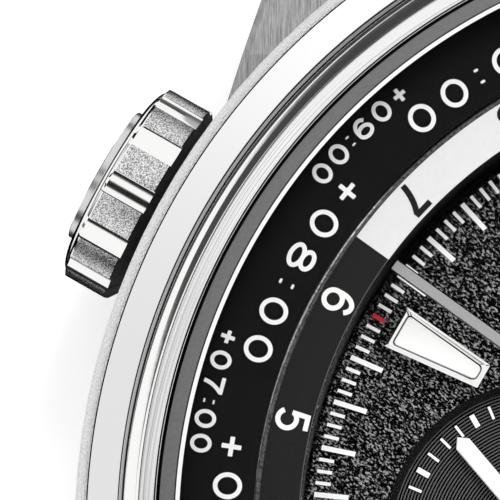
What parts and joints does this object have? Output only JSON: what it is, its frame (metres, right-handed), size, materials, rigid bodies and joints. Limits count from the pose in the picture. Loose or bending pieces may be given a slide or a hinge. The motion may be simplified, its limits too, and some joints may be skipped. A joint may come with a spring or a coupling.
{
  "type": "wristwatch",
  "caption": "Steel world time wristwatch with a crown-set outer ring, a 24 hour ring, two counters, a fluted second crown, pushers and a leather strap.",
  "frame": {"origin": "on the axis of the hands, in the plane of the caseback", "axes": "+Z out of the dial, +Y towards 12 o'clock, +X towards 3 o'clock"},
  "size_m": [0.0473, 0.2434, 0.0127],
  "materials": {
    "case_steel": "bead blasted rim, brushed flanks and lugs",
    "bezel_steel": "polished",
    "crystal": "clear, anti-reflective",
    "gasket": "matt",
    "holder": "black, satin",
    "crown_steel": "bead blasted teeth, polished flutes and cap",
    "stem_steel": "plain turned",
    "wheel_brass": "gilt",
    "pinion_steel": "polished",
    "ring_black": "black satin with pale print",
    "world_print": "half light, half dark, printed",
    "dial_black": "black, fine grain",
    "marker_steel": "polished",
    "lume": "white luminous paint",
    "hand_steel": "brushed",
    "hand_white": "white paint",
    "plate_nickel": "nickel plated, striped",
    "jewel": "ruby red",
    "rotor_metal": "striped, polished rim",
    "spring_steel": "blued",
    "strap_leather": "black, grained, stitched"
  },
  "bodies": {
    "root": {"case_middle": "case_steel", "bezel": "bezel_steel", "crystal": "crystal", "crystal_gasket": "gasket", "caseback": "case_steel", "caseback_window": "crystal", "caseback_gasket": "gasket", "movement_holder": "holder", "stem_tubes": "stem_steel", "dial": "dial_black", "counter_dials": "dial_black", "hour_markers": "marker_steel", "marker_lume": "lume", "main_plate": "plate_nickel", "barrel_bridge": "plate_nickel", "train_bridge": "plate_nickel", "balance_cock": "plate_nickel", "jewels": "jewel", "bridge_screws": "spring_steel", "rotor_post": "pinion_steel", "hairspring": "spring_steel", "spring_bars": "stem_steel"},
    "winding_pinion": {"winding_pinion": "pinion_steel"},
    "main_crown": {"main_crown": "crown_steel", "winding_stem": "stem_steel"},
    "city_crown": {"city_crown": "crown_steel", "city_stem": "stem_steel"},
    "setting_wheel": {"city_setting_wheel": "wheel_brass"},
    "city_ring": {"city_ring": "ring_black"},
    "world_disc": {"world_disc": "world_print"},
    "world_idler": {"world_idler": "wheel_brass"},
    "hour": {"hour_wheel": "wheel_brass", "hour_hand": "hand_steel"},
    "minute_wheel": {"minute_wheel": "wheel_brass"},
    "minute": {"cannon_pinion": "pinion_steel", "minute_hand": "hand_steel"},
    "chrono_seconds": {"chrono_seconds_hand": "hand_steel", "chrono_arbor": "pinion_steel"},
    "hour_counter": {"hour_counter_hand": "hand_white"},
    "minute_counter": {"minute_counter_hand": "hand_white"},
    "barrel": {"mainspring_barrel": "wheel_brass"},
    "centre_wheel": {"centre_wheel": "wheel_brass"},
    "third_wheel": {"third_wheel": "wheel_brass"},
    "fourth_wheel": {"fourth_wheel": "wheel_brass"},
    "escape_wheel": {"escape_wheel": "pinion_steel"},
    "pallet_fork": {"pallet_fork": "pinion_steel"},
    "balance": {"balance_wheel": "wheel_brass"},
    "rotor": {"rotor": "rotor_metal"},
    "start_pusher": {"start_pusher": "crown_steel"},
    "reset_pusher": {"reset_pusher": "crown_steel"},
    "strap_upper": {"strap_upper": "strap_leather", "fixed_keeper": "strap_leather"},
    "sliding_keeper": {"sliding_keeper": "strap_leather"},
    "strap_lower": {"strap_lower": "strap_leather"},
    "buckle": {"buckle_frame": "crown_steel"},
    "tang": {"buckle_tang": "crown_steel"}
  },
  "joints": [
    {"name": "winding_turn", "type": "hinge", "parent": "root", "child": "winding_pinion", "pos_m": [0.011, 0, 0.00525], "axis": [1, 0, 0], "continuous": true},
    {"name": "crown_pull", "type": "slide", "parent": "winding_pinion", "child": "main_crown", "axis": [1, 0, 0], "range_m": [0, 0.0015]},
    {"name": "city_ring_turn", "type": "hinge", "parent": "root", "child": "city_ring", "pos_m": [0, 0, 0.011], "axis": [0, 0, 1], "continuous": true},
    {"name": "setting_wheel_turn", "type": "hinge", "parent": "root", "child": "setting_wheel", "pos_m": [-0.0149, 0.0086, 0.005], "axis": [0, 0, 1], "continuous": true},
    {"name": "city_crown_turn", "type": "hinge", "parent": "root", "child": "city_crown", "pos_m": [-0.01992, 0.0115, 0.00525], "axis": [-0.866, 0.5, 0], "continuous": true},
    {"name": "world_disc_turn", "type": "hinge", "parent": "root", "child": "world_disc", "pos_m": [0, 0, 0.011], "axis": [0, 0, 1], "continuous": true},
    {"name": "world_idler_turn", "type": "hinge", "parent": "root", "child": "world_idler", "pos_m": [0, 0.0084, 0.005], "axis": [0, 0, 1], "continuous": true},
    {"name": "hour_turn", "type": "hinge", "parent": "root", "child": "hour", "pos_m": [0, 0, 0.009], "axis": [0, 0, 1], "continuous": true},
    {"name": "minute_wheel_turn", "type": "hinge", "parent": "root", "child": "minute_wheel", "pos_m": [0, -0.00573, 0.005], "axis": [0, 0, 1], "continuous": true},
    {"name": "minute_turn", "type": "hinge", "parent": "root", "child": "minute", "pos_m": [0, 0, 0.009], "axis": [0, 0, 1], "continuous": true},
    {"name": "chrono_seconds_turn", "type": "hinge", "parent": "root", "child": "chrono_seconds", "pos_m": [0, 0, 0.009], "axis": [0, 0, 1], "continuous": true},
    {"name": "hour_counter_turn", "type": "hinge", "parent": "root", "child": "hour_counter", "pos_m": [-0.00711, 0, 0.005], "axis": [0, 0, 1], "continuous": true},
    {"name": "minute_counter_turn", "type": "hinge", "parent": "root", "child": "minute_counter", "pos_m": [0.00711, 0, 0.005], "axis": [0, 0, 1], "continuous": true},
    {"name": "fourth_wheel_turn", "type": "hinge", "parent": "root", "child": "fourth_wheel", "pos_m": [-0.00287, -0.00789, 0.005], "axis": [0, 0, 1], "continuous": true},
    {"name": "third_wheel_turn", "type": "hinge", "parent": "root", "child": "third_wheel", "pos_m": [-0.00148, -0.00406, 0.005], "axis": [0, 0, 1], "continuous": true},
    {"name": "centre_wheel_turn", "type": "hinge", "parent": "root", "child": "centre_wheel", "pos_m": [0, 0, 0.005], "axis": [0, 0, 1], "continuous": true},
    {"name": "barrel_turn", "type": "hinge", "parent": "root", "child": "barrel", "pos_m": [0.00546, 0.00315, 0.005], "axis": [0, 0, 1], "continuous": true},
    {"name": "escape_wheel_turn", "type": "hinge", "parent": "root", "child": "escape_wheel", "pos_m": [-0.00634, -0.00789, 0.005], "axis": [0, 0, 1], "continuous": true},
    {"name": "pallet_swing", "type": "hinge", "parent": "root", "child": "pallet_fork", "pos_m": [-0.00815, -0.00505, 0.005], "axis": [0, 0, 1], "range_deg": [-5, 5]},
    {"name": "balance_swing", "type": "hinge", "parent": "root", "child": "balance", "pos_m": [-0.0093, 0.0005, 0.005], "axis": [0, 0, 1], "range_deg": [-270, 270], "stiffness_Nm_per_rad": 0.0000004},
    {"name": "rotor_turn", "type": "hinge", "parent": "root", "child": "rotor", "pos_m": [0, 0, 0.002], "axis": [0, 0, 1], "continuous": true},
    {"name": "start_push", "type": "slide", "parent": "root", "child": "start_pusher", "axis": [-0.8829, -0.4695, 0], "range_m": [0, 0.0008], "stiffness_N_per_m": 2500},
    {"name": "reset_push", "type": "slide", "parent": "root", "child": "reset_pusher", "axis": [-0.8829, 0.4695, 0], "range_m": [0, 0.0008], "stiffness_N_per_m": 2500},
    {"name": "strap_upper_swing", "type": "hinge", "parent": "root", "child": "strap_upper", "pos_m": [0, 0.023, 0.0036], "axis": [-1, 0, 0], "range_deg": [-60, 75]},
    {"name": "keeper_slide", "type": "slide", "parent": "strap_upper", "child": "sliding_keeper", "axis": [0, 1, 0], "range_m": [-0.007, 0.007]},
    {"name": "strap_lower_swing", "type": "hinge", "parent": "root", "child": "strap_lower", "pos_m": [0, -0.023, 0.0036], "axis": [1, 0, 0], "range_deg": [-60, 75]},
    {"name": "buckle_swing", "type": "hinge", "parent": "strap_upper", "child": "buckle", "pos_m": [0, 0.097, 0.00235], "axis": [-1, 0, 0], "range_deg": [-80, 80]},
    {"name": "tang_swing", "type": "hinge", "parent": "buckle", "child": "tang", "pos_m": [0, 0.097, 0.00235], "axis": [1, 0, 0], "range_deg": [0, 125]}
  ],
  "couplings": [
    {"joint": "setting_wheel_turn", "follows": "city_ring_turn", "ratio": 22.5},
    {"joint": "city_crown_turn", "follows": "city_ring_turn", "ratio": -45},
    {"joint": "world_idler_turn", "follows": "world_disc_turn", "ratio": 2.4},
    {"joint": "hour_turn", "follows": "world_disc_turn", "ratio": -2},
    {"joint": "minute_wheel_turn", "follows": "world_disc_turn", "ratio": 8},
    {"joint": "minute_turn", "follows": "world_disc_turn", "ratio": -24},
    {"joint": "hour_counter_turn", "follows": "chrono_seconds_turn", "ratio": 0.0013889},
    {"joint": "minute_counter_turn", "follows": "chrono_seconds_turn", "ratio": 0.033333},
    {"joint": "third_wheel_turn", "follows": "fourth_wheel_turn", "ratio": -0.13333},
    {"joint": "centre_wheel_turn", "follows": "fourth_wheel_turn", "ratio": 0.016667},
    {"joint": "barrel_turn", "follows": "fourth_wheel_turn", "ratio": -0.0027778},
    {"joint": "escape_wheel_turn", "follows": "fourth_wheel_turn", "ratio": -12}
  ]
}
